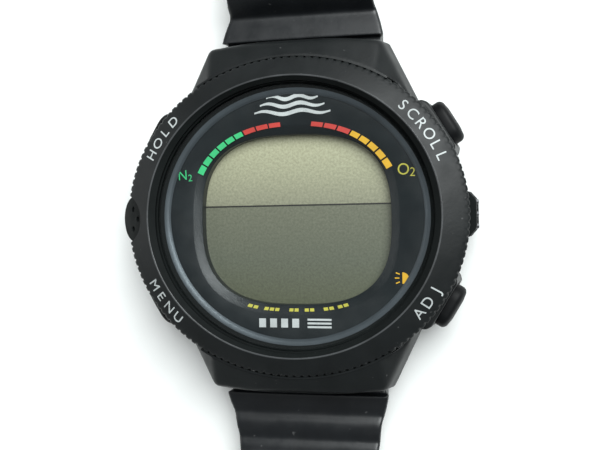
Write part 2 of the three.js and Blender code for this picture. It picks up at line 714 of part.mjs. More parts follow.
function strapLower() {
  const points = [...HUMP, [42, 6.9], [50, 5.3], [61, 3.1], [71, 1.8], [LOWER_FLAT.y, LOWER_FLAT.z]];
  const centre = spline(points, 26);
  centre.push(new THREE.Vector2(LOWER_TIP, LOWER_FLAT.z));
  const tapered = (y) => Math.min(strapThickness(y), Math.max(3.0, 3.2 - (y - 50) / 100));
  const side = ribbonSide(centre, tapered);
  const tipLength = 6;
  const tip = [0, 18, 36, 54, 72, 88].map((degrees) => [
    LOWER_TIP - tipLength + tipLength * Math.sin(rad(degrees)),
    9.4 * Math.cos(rad(degrees)),
  ]);
  const band = common(across(side, -13, 13), upright(strapPlan([[70, STRAP.half], ...tip]), -5, 20));
  const holes = Array.from({ length: HOLE.count }, (_, i) => {
    const slot = upright(stadium(2 * (HOLE.half + HOLE.r), 2 * HOLE.r), -3, 6, 3);
    return slot.translate(0, HOLE.first + i * HOLE.pitch, 0);
  });
  return cut(join(strapRoot(), band), barTunnel(), ...holes).rotateZ(Math.PI);
}

add('strap_upper', strapUpper(), rubber);
add('strap_lower', strapLower(), rubber);

function springBar(r, half, tip, tipReach) {
  return alongX(turned([
    [0, -tipReach],
    [tip, -tipReach],
    [tip, -half],
    [r, -half],
    [r, half],
    [tip, half],
    [tip, tipReach],
    [0, tipReach],
  ], 12));
}
add('spring_bar_12', springBar(BAR.r, 11.0, 0.5, 12.2).translate(0, BAR.y, BAR.z), steel);
add('spring_bar_6', springBar(BAR.r, 11.0, 0.5, 12.2).translate(0, -BAR.y, BAR.z), steel);

// ---- buckle, built along +Y from its bar, then pitched down to rest on its front edge
const buckle = new THREE.Group();
buckle.position.set(0, UPPER_END.y + 0.9, UPPER_END.z - 0.05);
buckle.rotation.x = rad(-BUCKLE.pitch);
model.add(buckle);

function buckleFrame() {
  const { half, inner, reach, open, thick } = BUCKLE;
  const plan = polygon([
    [-half, -1.6], [-half, reach - 2.5], [-half + 2.5, reach],
    [half - 2.5, reach], [half, reach - 2.5], [half, -1.6],
    [inner, -1.6], [inner, open], [-inner, open], [-inner, -1.6],
  ]);
  const holes = alongX(rod(0.75, -11, 11, 8));
  return cut(upright(plan, -thick, thick), holes);
}

function buckleTongue() {
  const eye = alongX(turnedRing([[1.05, -1.2], [1.85, -1.2], [1.85, 1.2], [1.05, 1.2]], 14));
  const side = polygon([
    [0.5, 1.2], [3, 0.3], [6, 0.3], [10.4, 1.6], [13.6, 1.6], [13.6, 2.3],
    [13.2, 2.6], [10, 2.6], [5.6, 1.3], [3, 1.3], [1.0, 1.8],
  ]);
  return join(eye, across(side, -1.2, 1.2));
}
add('buckle_frame', buckleFrame(), steel, buckle);
add('buckle_bar', springBar(0.8, 9.5, 0.5, 10.7), steel, buckle);
add('buckle_tongue', buckleTongue(), steel, buckle);

// ---- keepers: loops round the strap, high enough for the strap's tail as well
function keeperLoop() {
  const { half, wall, long } = KEEPER;
  const [low, high] = [-STRAP.thick / 2 - GAP, STRAP.thick / 2 + 3.6];
  const ring = polygon([
    [-half - wall, low - wall + 0.8], [-half - wall + 0.8, low - wall],
    [half + wall - 0.8, low - wall], [half + wall, low - wall + 0.8],
    [half + wall, high + wall - 1.2], [half + wall - 1.2, high + wall],
    [-half - wall + 1.2, high + wall], [-half - wall, high + wall - 1.2],
  ]);
  ring.holes.push(polygon([[-half, low], [half, low], [half, high], [-half, high]]));
  return upright(ring, -long / 2, long / 2).rotateX(Math.PI / 2);
}

function addKeeper(name, y) {
  const slope = (UPPER_END.z - UPPER_STRAIGHT.z) / (UPPER_END.y - UPPER_STRAIGHT.y);
  const keeper = add(name, keeperLoop(), rubber);
  keeper.position.set(0, y, UPPER_STRAIGHT.z + slope * (y - UPPER_STRAIGHT.y));
  keeper.rotation.x = Math.atan(slope);
}
addKeeper('keeper_fixed', KEEPER.fixed);
addKeeper('keeper_sliding', KEEPER.sliding);

export default model;
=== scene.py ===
"""Wrist dive computer: the surfaces that show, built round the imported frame.

Sizes below are in millimetres, in the part's own frame: +Z out of the face, +Y to 12 o'clock.
"""

import json
import math

import bmesh
import bpy
from mathutils import Matrix, Vector


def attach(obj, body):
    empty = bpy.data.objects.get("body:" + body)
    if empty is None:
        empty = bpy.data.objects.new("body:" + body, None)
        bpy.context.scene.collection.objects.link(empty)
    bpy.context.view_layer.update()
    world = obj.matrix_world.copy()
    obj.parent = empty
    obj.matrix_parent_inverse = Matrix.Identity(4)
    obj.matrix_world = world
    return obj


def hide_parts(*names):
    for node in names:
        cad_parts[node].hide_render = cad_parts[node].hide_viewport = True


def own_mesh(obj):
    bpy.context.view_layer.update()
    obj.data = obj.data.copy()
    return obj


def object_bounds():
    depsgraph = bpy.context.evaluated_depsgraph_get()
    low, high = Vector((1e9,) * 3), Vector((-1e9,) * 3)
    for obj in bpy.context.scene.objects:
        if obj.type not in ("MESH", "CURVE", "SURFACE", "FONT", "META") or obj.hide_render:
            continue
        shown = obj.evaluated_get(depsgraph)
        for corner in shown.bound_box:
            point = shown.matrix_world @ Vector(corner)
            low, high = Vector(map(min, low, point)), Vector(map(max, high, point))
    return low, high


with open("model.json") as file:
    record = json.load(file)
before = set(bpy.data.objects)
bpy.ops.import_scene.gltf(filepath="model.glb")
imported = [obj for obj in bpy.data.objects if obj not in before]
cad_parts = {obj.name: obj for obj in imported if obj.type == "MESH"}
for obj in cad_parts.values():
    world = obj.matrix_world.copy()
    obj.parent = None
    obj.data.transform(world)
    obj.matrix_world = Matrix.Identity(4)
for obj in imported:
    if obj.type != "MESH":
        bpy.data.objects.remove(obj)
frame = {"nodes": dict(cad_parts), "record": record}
cad_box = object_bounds()
NODES = frame["nodes"]
MM = 0.001

# Head. a and b are an oval's half axes along X and Y. A tuple gives the same two, then perhaps a height.
# Angles are in degrees, anticlockwise from 3 o'clock.
BEZEL = {"a": 23.5, "b": 21.4, "bottom": 10.9, "rim": 12.4, "spread": 0.11}
LIP = (20.3, 18.9, 13.95)
LIP_WIDTH = 0.2
THROAT = {"a": 19.3, "b": 18.2, "bottom": 13.0, "top": 13.35}
SOCKET = (21.25, 19.65)
# The notches fade out over their reach in from the edge, and start a little above the bezel's bottom.
NOTCHES = {"count": 140, "columns": 8, "depth": 0.18, "reach": 0.2, "start": 0.3}
HOOD_SEAM = {"half": 33.75, "step": 0.75, "inner": 0.08, "outer": 0.34}
# The hoods are rounded above z and outside the bezel's oval, by shares of its size, fading in.
HOOD_ROLL = {"y": 12, "z": 7.8, "fade": 0.8, "margin": 0.15, "start": 0.012, "blend": 0.03, "rounds": 45}
CRYSTAL = {"a": 19.0, "b": 17.9, "bottom": 11.9, "top": 13.2, "chamfer": 0.28}
SEAL = {"outer": (19.75, 18.5), "inner": (19.1, 18.0), "bottom": 11.6, "foot": 11.8, "top": 12.7}
FLANGE = {"outer": (18.5, 17.35), "inner": (17.65, 16.5), "bottom": 11.45}
DIAL = {"a": 18.4, "b": 17.25, "bottom": 10.9, "top": 11.4}
WINDOW = {"a": 13.2, "b": 11.5, "y": -0.4, "power": 2.8, "bottom": 9.5, "rebate": 0.7}
BEVEL = {"a": 13.3, "b": 11.6, "top_a": 14.3, "top_b": 12.7, "power": 2.7, "drop": 0.42}
LCD = {"a": 14.3, "b": 12.6, "power": 2.5, "bottom": 7.9, "top": 9.4, "chamfer": 0.1, "split": 1.55}
# The display's colour by height: its own olive tint, made lighter towards the top as painted light falling
# from above.
LCD_TINT_AND_PAINTED_LIGHT = [
    (-LCD["b"], (0.092, 0.098, 0.056)),
    (-6.0, (0.120, 0.128, 0.092)),
    (LCD["split"] - 0.05, (0.165, 0.168, 0.120)),
    (LCD["split"] + 0.05, (0.275, 0.270, 0.190)),
    (6.0, (0.40, 0.39, 0.265)),
    (LCD["b"], (0.54, 0.52, 0.35)),
]
BUTTON = {"z": 7.2, "long": 6.2, "tall": 4.0, "back": 22.0, "face": 24.85, "stem": 0.9, "stem_end": 17.6}
CAP_EDGE = {"inset": 0.9, "dome": 0.12}
BUTTONS = {"upper_right": 31, "upper_left": 149, "lower_left": 211, "lower_right": 329}
COIL = {"r": 1.35, "wire": 0.13, "start": 20.58, "end": 21.82, "turns": 2.6, "floor": 20.42, "keep": 0.36}
SENSOR = {"x": -23.5, "z": 10.45, "tilt": 40, "boss": 3.3, "cap": 3.25, "plug": 2.8}
PORTS = {"from_middle": 1.4, "r": 0.4}

# Strap
BAR = {"y": 22.0, "z": 3.7}
ROOT = {"half": 11.05, "bore": 1.2, "r": 2.2, "low": 2.2, "high": 5.0, "start": 23.4, "end": 25.4}
STRAP_START = 24.8
STRAP = {"root": 4.2, "thinner": 1.0, "taper": 3.7, "lean": 0.75, "soft": 0.55, "crown": 0.1}
UPPER_END = {"y": 83.9, "z": 3.55, "r": 1.9, "half": 9.3, "start": 81.5, "blend": 1.5}
BUCKLE_SLOT = {"half": 1.6, "start": 80.4, "end": 88, "tunnel": 1.1}
LOWER_TIP = {"y": 132.0, "length": 6.0, "half": 9.4, "blunt": 0.4}
HOLES = {"y": [84.0 + 5.0 * i for i in range(9)], "wide": 4.0, "long": 2.2}


# ---------------------------------------------------------------- mesh helpers
def linked(name, data):
    """A new object in the scene, from a mesh, a curve, a light or a camera."""
    obj = bpy.data.objects.new(name, data)
    bpy.context.scene.collection.objects.link(obj)
    return obj


def new_object(name, verts, faces, sharp=35):
    """A mesh object from points in millimetres, with its faces pointing out."""
    mesh = bpy.data.meshes.new(name)
    mesh.from_pydata([Vector(v) * MM for v in verts], [], faces)
    shape = bmesh.new()
    shape.from_mesh(mesh)
    bmesh.ops.recalc_face_normals(shape, faces=shape.faces)
    shape.to_mesh(mesh)
    shape.free()
    obj = linked(name, mesh)
    smooth(obj, sharp)
    return obj


def smooth(obj, sharp=35):
    """Shades an object smoothly, except at edges sharper than an angle in degrees."""
    obj.data.shade_smooth()
    obj.data.set_sharp_from_angle(angle=math.radians(sharp))


def place(obj, matrix):
    """Moves the points themselves, so that the object stays at the origin. The matrix is in millimetres."""
    scale = Matrix.Scale(MM, 4)
    obj.data.transform(scale @ matrix @ scale.inverted())
    return obj


def applied(obj):
    """Applies an object's modifiers to its mesh."""
    bpy.context.view_layer.update()
    graph = bpy.context.evaluated_depsgraph_get()
    mesh = bpy.data.meshes.new_from_object(obj.evaluated_get(graph), depsgraph=graph)
    obj.modifiers.clear()
    obj.data = mesh
    return obj


def carved(obj, *tools):
    """Cuts the tools out of an object, then removes them."""
    for tool in tools:
        cut = obj.modifiers.new("cut", "BOOLEAN")
        cut.operation = "DIFFERENCE"
        cut.solver = "EXACT"
        cut.object = tool
    applied(obj)
    for tool in tools:
        bpy.data.objects.remove(tool)
    return obj


def joined(name, *parts):
    """One object from several. Their shells overlap until a remesh, if there is one, makes them one body."""
    shape = bmesh.new()
    for part in parts:
        shape.from_mesh(part.data)
        bpy.data.objects.remove(part)
    mesh = bpy.data.meshes.new(name)
    shape.to_mesh(mesh)
    shape.free()
    return linked(name, mesh)


def moulded(obj, voxel, rounds):
    """Remeshes an object finely and relaxes it, which rounds its edges as a mould does."""
    remesh = obj.modifiers.new("remesh", "REMESH")
    remesh.mode = "VOXEL"
    remesh.voxel_size = voxel * MM
    relax = obj.modifiers.new("relax", "SMOOTH")
    relax.factor = 0.5
    relax.iterations = rounds
    applied(obj)
    obj.data.shade_smooth()
    return obj


def moulded_copy(node, voxel, rounds):
    """A finely moulded copy of a CAD node."""
    obj = linked(node + "_skin", NODES[node].data.copy())
    obj.data.materials.clear()
    return moulded(obj, voxel, rounds)


def rounded(profile, radius=0.1, steps=3, closed=True):
    """Replaces each corner (a, b, z) or (a, b, z, its own radius) of a profile by a small curve."""
    points = [Vector(p[:3]) for p in profile]
    curve = []
    for i, corner in enumerate(points):
        if not closed and i in (0, len(points) - 1):
            curve.append(corner)
            continue
        before = points[i - 1] - corner
        after = points[(i + 1) % len(points)] - corner
        reach = profile[i][3] if len(profile[i]) > 3 else radius
        start = corner + before.normalized() * min(reach, 0.48 * before.length)
        end = corner + after.normalized() * min(reach, 0.48 * after.length)
        for k in range(steps + 1):
            t = k / steps
            curve.append(start.lerp(corner, t).lerp(corner.lerp(end, t), t))
    return curve


def swept(name, profile, segments=288, closed=True, shape=None, sharp=35):
    """Sweeps a profile of half axes and heights round Z. An open one starts and ends on the axis."""
    rows = profile if closed else profile[1:-1]
    verts = []
    for i in range(segments):
        theta = 2 * math.pi * i / segments
        for point in rows:
            a, b, z = shape(theta, point) if shape else point
            verts.append((a * math.cos(theta), b * math.sin(theta), z))
    count = len(rows)
    faces = []
    for i in range(segments):
        here, there = i * count, (i + 1) % segments * count
        for j in range(count if closed else count - 1):
            k = (j + 1) % count
            faces.append((here + j, here + k, there + k, there + j))
        if not closed:
            faces.append((len(verts), here, there))
            faces.append((here + count - 1, len(verts) + 1, there + count - 1))
    if not closed:
        verts += [(0, 0, profile[0][2]), (0, 0, profile[-1][2])]
    return new_object(name, verts, faces, sharp)


def rod(name, r, z0, z1, segments=48):
    """A solid cylinder along Z."""
    return swept(name, [(0, 0, z0), (r, r, z0), (r, r, z1), (0, 0, z1)], segments, closed=False)


def lofted(name, rings, sharp=35):
    """Skins a row of outlines that have as many points each, and closes both ends."""
    count = len(rings[0])
    verts = [point for ring in rings for point in ring]
    faces = [tuple(range(count)), tuple(range(len(verts) - count, len(verts)))]
    for i in range(len(rings) - 1):
        for j in range(count):
            k = (j + 1) % count
            faces.append((i * count + j, i * count + k, (i + 1) * count + k, (i + 1) * count + j))
    return new_object(name, verts, faces, sharp)


def prism(name, outlines, z0, z1):
    """Thin plates from (x, y) outlines."""
    verts, faces = [], []
    for outline in outlines:
        n, base = len(outline), len(verts)
        verts += [(x, y, z0) for x, y in outline] + [(x, y, z1) for x, y in outline]
        faces.append(tuple(range(base, base + n)))
        faces.append(tuple(range(base + n, base + 2 * n)))
        faces += [(base + i, base + (i + 1) % n, base + n + (i + 1) % n, base + n + i) for i in range(n)]
    return new_object(name, verts, faces)


def ray_radius(angle, a, b, power):
    """How far a superellipse lies from its centre in one direction."""
    c, s = abs(math.cos(angle)) / a, abs(math.sin(angle)) / b
    return (c ** power + s ** power) ** (-1 / power)


def super_point(angle, a, b, power, y=WINDOW["y"]):
    """A point of a superellipse whose centre lies at (0, y), which is the window's unless said."""
    r = ray_radius(angle, a, b, power)
    return r * math.cos(angle), r * math.sin(angle) + y


def stadium(long, tall, steps=12):
    """A slot outline with round ends, lying along its first axis."""
    r, half = tall / 2, (long - tall) / 2
    ends = []
    for side in (1, -1):
        for k in range(steps + 1):
            t = math.pi * (k / steps - 0.5)
            ends.append((side * (half + r * math.cos(t)), side * r * math.sin(t)))
    return ends


def along(points):
    """A smooth function through (x, value) points."""
    def value(x):
        i = max(0, min(len(points) - 2, sum(1 for p in points if p[0] <= x) - 1))
        (x0, y0), (x1, y1) = points[i], points[i + 1]
        before = points[max(i - 1, 0)]
        after = points[min(i + 2, len(points) - 1)]
        slope0 = (y1 - before[1]) / (x1 - before[0])
        slope1 = (after[1] - y0) / (after[0] - x0)
        t = min(1.0, max(0.0, (x - x0) / (x1 - x0)))
        h = x1 - x0
        return ((2 * t ** 3 - 3 * t ** 2 + 1) * y0 + (t ** 3 - 2 * t ** 2 + t) * h * slope0
                + (3 * t ** 2 - 2 * t ** 3) * y1 + (t ** 3 - t ** 2) * h * slope1)
    return value


# ---------------------------------------------------------------- materials
DUST = (0.3, 0.3, 0.3)
FEATURES = {"mottle": 260, "gloss": 420, "dust": 1300}


def shader(name, color, roughness, metallic=0.0, **sockets):
    """A material with one Principled shader, and its tree."""
    material = bpy.data.materials.new(name)
    material.use_nodes = True
    surface = material.node_tree.nodes["Principled BSDF"]
    surface.inputs["Base Color"].default_value = (*color, 1)
    surface.inputs["Roughness"].default_value = roughness
    surface.inputs["Metallic"].default_value = metallic
    for socket, value in sockets.items():
        surface.inputs[socket.replace("_", " ")].default_value = value
    return material, material.node_tree, surface


def noise(tree, scale, detail=4.0, stretch=(1, 1, 1)):
    """Noise fixed to the piece, with its scale in features per metre."""
    where = tree.nodes.new("ShaderNodeTexCoord")
    mapping = tree.nodes.new("ShaderNodeMapping")
    mapping.inputs["Scale"].default_value = stretch
    texture = tree.nodes.new("ShaderNodeTexNoise")
    texture.inputs["Scale"].default_value = scale
    texture.inputs["Detail"].default_value = detail
    tree.links.new(where.outputs["Object"], mapping.inputs["Vector"])
    tree.links.new(mapping.outputs["Vector"], texture.inputs["Vector"])
    return texture.outputs["Fac"]


def ranged(tree, source, low, high, start=0.3, end=0.7):
    """Maps a value from start..end, which holds most of a noise, to low..high."""
    node = tree.nodes.new("ShaderNodeMapRange")
    node.inputs["From Min"].default_value = start
    node.inputs["From Max"].default_value = end
    node.inputs["To Min"].default_value = low
    node.inputs["To Max"].default_value = high
    tree.links.new(source, node.inputs["Value"])
    return node.outputs["Result"]


def mixed(tree, factor, first, second, blend="MIX"):
    """Blends two colours, each a tuple or another node's output."""
    node = tree.nodes.new("ShaderNodeMix")
    node.data_type = "RGBA"
    node.blend_type = blend
    tree.links.new(factor, node.inputs["Factor"])
    for socket, value in ((node.inputs[6], first), (node.inputs[7], second)):
        if isinstance(value, tuple):
            socket.default_value = (*value, 1)
        else:
            tree.links.new(value, socket)
    return node.outputs[2]


def bumped(tree, surface, height, distance):
    """Adds fine relief to a shader. The distance is in millimetres."""
    node = tree.nodes.new("ShaderNodeBump")
    node.inputs["Strength"].default_value = 1.0
    node.inputs["Distance"].default_value = distance * MM
    tree.links.new(height, node.inputs["Height"])
    tree.links.new(node.outputs["Normal"], surface.inputs["Normal"])


def moulded_look(name, color, roughness, mottle=0.15, grain=2500, relief=0.012, spread=0.06, dust=0.0,
                 **sockets):
    """Polymer, rubber, paint, print or paper: mottled colour, uneven gloss, fine grain and perhaps dust."""
    material, tree, surface = shader(name, color, roughness, **sockets)
    dark = tuple(c * (1 - mottle) for c in color)
    light = tuple(c * (1 + mottle) for c in color)
    shade = mixed(tree, ranged(tree, noise(tree, FEATURES["mottle"]), 0, 1), dark, light)
    if dust:
        specks = ranged(tree, noise(tree, FEATURES["dust"], 1.0), 0, dust, start=0.76, end=0.82)
        shade = mixed(tree, specks, shade, DUST)
    tree.links.new(shade, surface.inputs["Base Color"])
    gloss = ranged(tree, noise(tree, FEATURES["gloss"]), roughness - spread, roughness + spread)
    tree.links.new(gloss, surface.inputs["Roughness"])
    bumped(tree, surface, noise(tree, grain, 3.0), relief)
    return material


def metal_look(name, color, roughness, stretch=(1, 1, 1), scale=1800, relief=0.004):
    """Metal with fine brushing or blasting."""
    material, tree, surface = shader(name, color, roughness, 1.0)
    lines = noise(tree, scale, 6.0, stretch)
    dark = tuple(c * 0.86 for c in color)
    spread = 0.08
    tree.links.new(mixed(tree, ranged(tree, lines, 0, 1), dark, color), surface.inputs["Base Color"])
    tree.links.new(ranged(tree, lines, roughness - spread, roughness + spread), surface.inputs["Roughness"])
    bumped(tree, surface, lines, relief)
    return material


def glass_look():
    """Clear crystal: what lies behind it shows through, with the gloss on top by Fresnel."""
    material = bpy.data.materials.new("crystal")
    material.use_nodes = True
    tree = material.node_tree
    tree.nodes.remove(tree.nodes["Principled BSDF"])
    clear = tree.nodes.new("ShaderNodeBsdfTransparent")
    clear.inputs["Color"].default_value = (0.97, 0.98, 0.98, 1)
    gloss = tree.nodes.new("ShaderNodeBsdfGlossy")
    gloss.inputs["Color"].default_value = (1, 1, 1, 1)
    gloss.inputs["Roughness"].default_value = 0.03
    fresnel = tree.nodes.new("ShaderNodeFresnel")
    fresnel.inputs["IOR"].default_value = 1.45
    geometry = tree.nodes.new("ShaderNodeNewGeometry")
    outside = tree.nodes.new("ShaderNodeMath")
    outside.operation = "SUBTRACT"
    outside.inputs[0].default_value = 1
    tree.links.new(geometry.outputs["Backfacing"], outside.inputs[1])
    amount = tree.nodes.new("ShaderNodeMath")
    amount.operation = "MULTIPLY"
    tree.links.new(fresnel.outputs["Fac"], amount.inputs[0])
    tree.links.new(outside.outputs[0], amount.inputs[1])
    mix = tree.nodes.new("ShaderNodeMixShader")
    tree.links.new(amount.outputs[0], mix.inputs[0])
    tree.links.new(clear.outputs[0], mix.inputs[1])
    tree.links.new(gloss.outputs[0], mix.inputs[2])
    tree.links.new(mix.outputs[0], tree.nodes["Material Output"].inputs["Surface"])
    return material


def lcd_look():
    """Blank liquid crystal, warm grey at the top to olive grey at the bottom, with a fine pixel grain: its
    lightening towards the top is painted light from above.
    """
    material, tree, surface = shader("lcd", (0.2, 0.2, 0.15), 0.45)
    where = tree.nodes.new("ShaderNodeTexCoord")
    split = tree.nodes.new("ShaderNodeSeparateXYZ")
    tree.links.new(where.outputs["Object"], split.inputs["Vector"])
    # Painted light: this ramp lightens the panel towards the top.
    ramp = tree.nodes.new("ShaderNodeValToRGB")
    stops = ramp.color_ramp.elements
    stops[0].color = (*LCD_TINT_AND_PAINTED_LIGHT[0][1], 1)
    stops[1].color = (*LCD_TINT_AND_PAINTED_LIGHT[-1][1], 1)
    for y, shade in LCD_TINT_AND_PAINTED_LIGHT[1:-1]:
        stops.new((y + LCD["b"]) / (2 * LCD["b"])).color = (*shade, 1)
    height = ranged(tree, split.outputs["Y"], 0, 1, start=-LCD["b"] * MM, end=LCD["b"] * MM)
    tree.links.new(height, ramp.inputs["Fac"])
    grain = ranged(tree, noise(tree, 3200, 3.0), 0, 1)
    shade = mixed(tree, grain, ramp.outputs["Color"], (0.70, 0.70, 0.68), "MULTIPLY")
    tree.links.new(shade, surface.inputs["Base Color"])
    tree.links.new(ranged(tree, noise(tree, 4000), 0.42, 0.5), surface.inputs["Roughness"])
    return material


LOOKS = {
    "case_polymer": moulded_look("case_polymer", (0.0075, 0.0090, 0.0094), 0.44, dust=0.25,
                                 Specular_IOR_Level=0.26),
    "strap_rubber": moulded_look("strap_rubber", (0.0060, 0.0072, 0.0086), 0.40, grain=1800, relief=0.010,
                                 dust=0.15, Specular_IOR_Level=0.5),
    "seal_rubber": moulded_look("seal_rubber", (0.004, 0.004, 0.0045), 0.5),
    "crystal_glass": glass_look(),
    "dial_plate": moulded_look("dial_plate", (0.0055, 0.0088, 0.0105), 0.36, relief=0.004,
                               Specular_IOR_Level=0.4),
    "flange_silver": moulded_look("flange_silver", (0.062, 0.074, 0.084), 0.38, spread=0.02, relief=0.002,
                                  Metallic=0.4),
    "lcd_glass": lcd_look(),
    "white_plastic": moulded_look("white_plastic", (0.68, 0.70, 0.67), 0.5),
    "board": moulded_look("board", (0.012, 0.10, 0.045), 0.35),
    "chip_black": moulded_look("chip_black", (0.012, 0.012, 0.014), 0.5),
    "steel": metal_look("steel", (0.55, 0.56, 0.58), 0.3, stretch=(1, 1, 8)),
    "button_black": moulded_look("button_black", (0.0042, 0.0047, 0.0052), 0.5, relief=0.003,
                                 Specular_IOR_Level=0.15),
    "buckle_steel": metal_look("buckle_steel", (0.34, 0.35, 0.37), 0.38, scale=5200, relief=0.006),
    "brass": metal_look("brass", (0.58, 0.42, 0.16), 0.3, stretch=(1, 6, 1)),
}
PRINT_WHITE = moulded_look("print_white", (0.42, 0.45, 0.45), 0.5, relief=0.006)
PRINT_SILVER = moulded_look("print_silver", (0.62, 0.64, 0.64), 0.3, relief=0.004, Metallic=0.3)
PRINT_GREEN = moulded_look("print_green", (0.035, 0.47, 0.17), 0.5, relief=0.004)
PRINT_RED = moulded_look("print_red", (0.50, 0.035, 0.025), 0.5, relief=0.004)
PRINT_AMBER = moulded_look("print_amber", (0.62, 0.34, 0.01), 0.5, relief=0.004)
PRINT_YELLOW = moulded_look("print_yellow", (0.42, 0.38, 0.04), 0.5, relief=0.004)
DULL_BLACK = moulded_look("dull_black", (0.006, 0.0075, 0.0075), 0.65, Specular_IOR_Level=0.08)
# The bezel lip's edge: a lighter colour that is a painted highlight, on a glossier finish.
LIP_PAINTED_HIGHLIGHT = moulded_look("lip_edge_painted_highlight", (0.045, 0.048, 0.05), 0.3, mottle=0.4, relief=0.003)
PIN_METAL = metal_look("pin_metal", (0.16, 0.16, 0.165), 0.5)
LCD_LINE = moulded_look("lcd_line", (0.012, 0.011, 0.009), 0.5, relief=0.002)

SLOT_OF = {part["node"]: part["material_slot"] for part in frame["record"]["subparts"]}


def finish_piece(obj, name, body, slot, *nodes, look=None):
    """Names a piece, gives it its material, and says what it rides on and what it stands for."""
    obj.name = name
    obj.data.materials.clear()
    obj.data.materials.append(look or LOOKS[slot])
    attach(obj, body)
    if nodes:
        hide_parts(*nodes)
    return obj


# ---------------------------------------------------------------- head
def sensor_frame():
    """The sensor's place and lean. Its own +Z points out of its cap."""
    lean = Matrix.Rotation(math.radians(-SENSOR["tilt"]), 4, "Y")
    return Matrix.Translation((SENSOR["x"], 0, SENSOR["z"])) @ lean


def build_bezel():
    """The notched ring round the crystal, cut away for the sensor's boss."""
    a, b, bottom, rim, spread = (BEZEL[key] for key in ("a", "b", "bottom", "rim", "spread"))
    throat = (THROAT["a"], THROAT["b"])
    profile = rounded([
        (a - 0.3, b - 0.3, bottom, 0.1),
        (a, b, bottom + 0.4, 0.2),
        (a + spread, b + spread, rim + 0.1, 0.1),
        (a - 0.15, b - 0.15, rim + 0.31, 0.1),
        (a - 0.7, b - 0.61, rim + 0.55, 0.05),
        (*LIP, 0.12),
        (LIP[0] - LIP_WIDTH, LIP[1] - LIP_WIDTH, LIP[2] - 0.03, 0.08),
        (*throat, THROAT["top"], 0.1),
        (*throat, THROAT["bottom"], 0.05),
        (*SOCKET, THROAT["bottom"], 0.05),
        (*SOCKET, bottom, 0.05),
    ])

    def notched(theta, point):
        pulse = max(0.0, math.cos(NOTCHES["count"] * theta)) ** 2
        reach = min(1.0, max(0.0, (point.x - (a - NOTCHES["reach"])) / NOTCHES["reach"]))
        depth = NOTCHES["depth"] * pulse * reach if point.z > bottom + NOTCHES["start"] else 0.0
        return point.x - depth, point.y - depth, point.z - 0.5 * depth

    ring = swept("bezel_ring", profile, NOTCHES["count"] * NOTCHES["columns"], shape=notched)
    clearance = 0.3
    tool = place(rod("tool", SENSOR["boss"] + clearance, -6, 8), sensor_frame())
    finish_piece(carved(ring, tool), "bezel_ring", "head", "case_polymer", "bezel")
    smooth(ring)


def build_throat():
    """The dull wall inside the lip, and the lip's edge: glossier, and lighter in colour as a painted
    highlight.
    """
    (a, b, top), skin = LIP, 0.03
    inner = (THROAT["a"] - skin, THROAT["b"] - skin)
    outer = (THROAT["a"] + skin, THROAT["b"] + skin)
    wall = swept("bezel_throat", [
        (a - 0.24, b - 0.24, top - 0.04),
        (*inner, THROAT["top"] + 0.01),
        (*inner, THROAT["bottom"]),
        (*outer, THROAT["bottom"]),
        (*outer, THROAT["top"] - 0.05),
    ])
    finish_piece(wall, "bezel_throat", "head", "case_polymer", look=DULL_BLACK)
    edge = swept("bezel_lip_edge", rounded([
        (a + 0.05, b + 0.05, top - 0.05),
        (a - 0.02, b - 0.02, top - 0.004),
        (a - 0.16, b - 0.16, top - 0.004),
        (a - 0.23, b - 0.23, top - 0.06),
        (a - 0.1, b - 0.1, top - 0.12),
    ], 0.03))
    finish_piece(edge, "bezel_lip_edge", "head", "case_polymer", look=LIP_PAINTED_HIGHLIGHT)


def build_hood_seams():
    """Thin arcs that close the seam between each hood and the bezel, so that only the notches show there."""
    a, b, rim = BEZEL["a"], BEZEL["b"], BEZEL["rim"]
    inner, outer, half, step = (HOOD_SEAM[key] for key in ("inner", "outer", "half", "step"))
    section = [(inner, rim + 0.17), (outer, rim + 0.11), (outer, rim - 0.2), (inner, rim - 0.2)]
    for name, middle in (("hood_seam_upper", 90), ("hood_seam_lower", 270)):
        rings = []
        for k in range(round(2 * half / step) + 1):
            t = math.radians(middle - half + step * k)
            rings.append([((a + d) * math.cos(t), (b + d) * math.sin(t), z) for d, z in section])
        finish_piece(lofted(name, rings), name, "head", "case_polymer")


def build_crystal():
    """The flat crystal, with a chamfer round its top."""
    a, b, bottom, top, chamfer = (CRYSTAL[key] for key in ("a", "b", "bottom", "top", "chamfer"))
    crystal = swept("crystal_lens", [
        (0, 0, bottom),
        (a, b, bottom),
        (a, b, top - chamfer),
        (a - chamfer, b - chamfer, top),
        (0, 0, top),
    ], closed=False, sharp=30)
    finish_piece(crystal, "crystal_lens", "head", "crystal_glass", "crystal")


def build_seal_and_flange():
    """The gasket round the crystal, whose foot reaches under it to the bright sloping ring."""
    outer, inner, bottom, foot, top = (SEAL[key] for key in ("outer", "inner", "bottom", "foot", "top"))
    gasket = swept("crystal_seal", rounded([
        (*FLANGE["outer"], bottom, 0.05),
        (*outer, bottom, 0.05),
        (*outer, top, 0.05),
        (*inner, top, 0.08),
        (*inner, foot, 0.05),
        (*FLANGE["outer"], foot, 0.05),
    ]))
    finish_piece(gasket, "crystal_seal", "head", "seal_rubber", "crystal_gasket", look=DULL_BLACK)
    (a, b), bottom = FLANGE["outer"], FLANGE["bottom"]
    flange = swept("flange", rounded([
        (a, b, bottom, 0.03),
        (a, b, bottom + 0.42, 0.05),
        (a - 0.55, b - 0.55, bottom + 0.27, 0.15),
        (*FLANGE["inner"], bottom + 0.05, 0.05),
        (*FLANGE["inner"], bottom, 0.03),
    ]))
    finish_piece(flange, "flange", "head", "flange_silver", "flange_ring")


